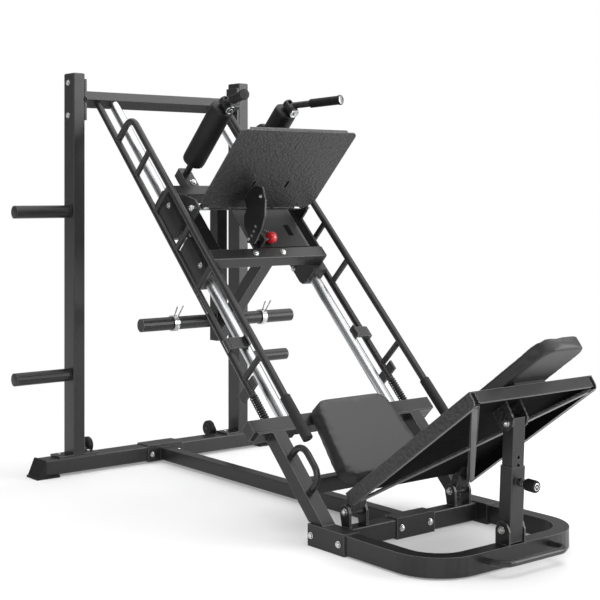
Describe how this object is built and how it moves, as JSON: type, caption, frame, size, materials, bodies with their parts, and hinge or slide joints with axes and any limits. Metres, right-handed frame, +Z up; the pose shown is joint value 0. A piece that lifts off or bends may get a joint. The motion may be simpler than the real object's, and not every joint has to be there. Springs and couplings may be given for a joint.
{
  "type": "leg press and hack squat machine",
  "caption": "Plate-loaded leg press with a sliding carriage on an inclined track, folding safety ladders, tilting foot plate, shoulder rollers and a reclining back board.",
  "frame": {"origin": "centre of the bounding box at floor level", "axes": "+Z up, +X to the right seen from the back board end, +Y from the back board towards the uprights"},
  "size_m": [1.314, 2.2788, 1.58],
  "materials": {
    "powder": "satin powder coat",
    "plate": "textured powder coat",
    "chrome": "polished",
    "spring": "black oxide",
    "vinyl": "matte vinyl",
    "foam": "matte foam cover",
    "rubber": "matte ribbed",
    "red": "gloss",
    "nylon": "moulded",
    "plywood": "sealed"
  },
  "bodies": {
    "frame": {"rear_base_tube": "powder", "rear_foot_left": "rubber", "rear_foot_right": "rubber", "upright_left": "powder", "upright_right": "powder", "top_beam": "powder", "guide_rod_left": "chrome", "guide_rod_right": "chrome", "lower_beam": "powder", "front_post_left": "powder", "front_post_right": "powder", "corner_bracket_left": "powder", "corner_bracket_right": "powder", "centre_tube": "powder", "front_cross_tube": "powder", "base_loop": "powder", "transport_handle": "powder", "storage_peg_left_upper": "powder", "storage_peg_left_lower": "powder", "storage_peg_right_upper": "powder", "storage_peg_right_lower": "powder", "seat_pad": "vinyl", "seat_bar": "powder", "return_spring_left": "spring", "return_spring_right": "spring"},
    "wheel_left": {"transport_wheel_left": "rubber"},
    "ladder_left": {"safety_ladder_left": "powder", "ladder_grip_left": "rubber"},
    "collar_left": {"spring_collar_left": "chrome"},
    "wheel_right": {"transport_wheel_right": "rubber"},
    "ladder_right": {"safety_ladder_right": "powder", "ladder_grip_right": "rubber"},
    "collar_right": {"spring_collar_right": "chrome"},
    "carriage": {"carriage_frame": "powder", "bearing_housing_left_upper": "nylon", "bearing_housing_left_lower": "nylon", "loading_peg_left": "powder", "shoulder_stem_left": "powder", "shoulder_pad_left": "foam", "end_clamp_left": "chrome", "handle_left": "powder", "handle_grip_left": "rubber", "bearing_housing_right_upper": "nylon", "bearing_housing_right_lower": "nylon", "loading_peg_right": "powder", "shoulder_stem_right": "powder", "shoulder_pad_right": "foam", "end_clamp_right": "chrome", "handle_right": "powder", "handle_grip_right": "rubber"},
    "foot_plate": {"foot_plate": "plate", "sector_plate": "plate"},
    "release_pin": {"release_pin": "chrome", "release_knob": "red"},
    "board": {"board": "plate", "back_pad_base": "plywood", "back_pad": "vinyl"},
    "post_outer": {"post_outer": "powder"},
    "post_inner": {"post_inner": "powder"},
    "post_pin": {"post_pin": "nylon"}
  },
  "joints": [
    {"name": "carriage_slide", "type": "slide", "parent": "frame", "child": "carriage", "axis": [0, -0.7071, -0.7071], "range_m": [-0.38, 0.255]},
    {"name": "ladder_swing_left", "type": "hinge", "parent": "frame", "child": "ladder_left", "pos_m": [-0.314, 0.37203, 0.8436], "axis": [0, 0.7071, 0.7071], "range_deg": [-40, 0], "stiffness_Nm_per_rad": 30, "springref_deg": 14.32},
    {"name": "wheel_spin_left", "type": "hinge", "parent": "frame", "child": "wheel_left", "pos_m": [-0.3, 1.10642, 0.086], "axis": [1, 0, 0], "continuous": true},
    {"name": "collar_slide_left", "type": "slide", "parent": "carriage", "child": "collar_left", "axis": [1, 0, 0], "range_m": [-0.125, 0.12]},
    {"name": "ladder_swing_right", "type": "hinge", "parent": "frame", "child": "ladder_right", "pos_m": [0.314, 0.37203, 0.8436], "axis": [0, 0.7071, 0.7071], "range_deg": [0, 40], "stiffness_Nm_per_rad": 30, "springref_deg": -14.32},
    {"name": "wheel_spin_right", "type": "hinge", "parent": "frame", "child": "wheel_right", "pos_m": [0.3, 1.10642, 0.086], "axis": [1, 0, 0], "continuous": true},
    {"name": "collar_slide_right", "type": "slide", "parent": "carriage", "child": "collar_right", "axis": [1, 0, 0], "range_m": [-0.12, 0.125]},
    {"name": "foot_plate_tilt", "type": "hinge", "parent": "carriage", "child": "foot_plate", "pos_m": [0, 0.39041, 1.05432], "axis": [1, 0, 0], "range_deg": [0, 8]},
    {"name": "release_pull", "type": "slide", "parent": "carriage", "child": "release_pin", "axis": [1, 0, 0], "range_m": [0, 0.012], "stiffness_N_per_m": 800, "springref_m": -0.01},
    {"name": "board_tilt", "type": "hinge", "parent": "frame", "child": "board", "pos_m": [0, -0.46858, 0.11], "axis": [1, 0, 0], "range_deg": [-6, 6]},
    {"name": "post_swing", "type": "hinge", "parent": "frame", "child": "post_outer", "pos_m": [0, -0.91458, 0.106], "axis": [1, 0, 0], "range_deg": [-8, 8]},
    {"name": "post_extend", "type": "slide", "parent": "post_outer", "child": "post_inner", "axis": [0, -0.0465, 0.9989], "range_m": [-0.055, 0.055]},
    {"name": "post_pin_pull", "type": "slide", "parent": "post_outer", "child": "post_pin", "axis": [0, -0.9989, -0.0465], "range_m": [0, 0.012], "stiffness_N_per_m": 800, "springref_m": -0.01}
  ],
  "couplings": [
    {"joint": "post_swing", "follows": "board_tilt", "ratio": 1.052},
    {"joint": "post_extend", "follows": "board_tilt", "m_per_rad": -0.4457}
  ]
}
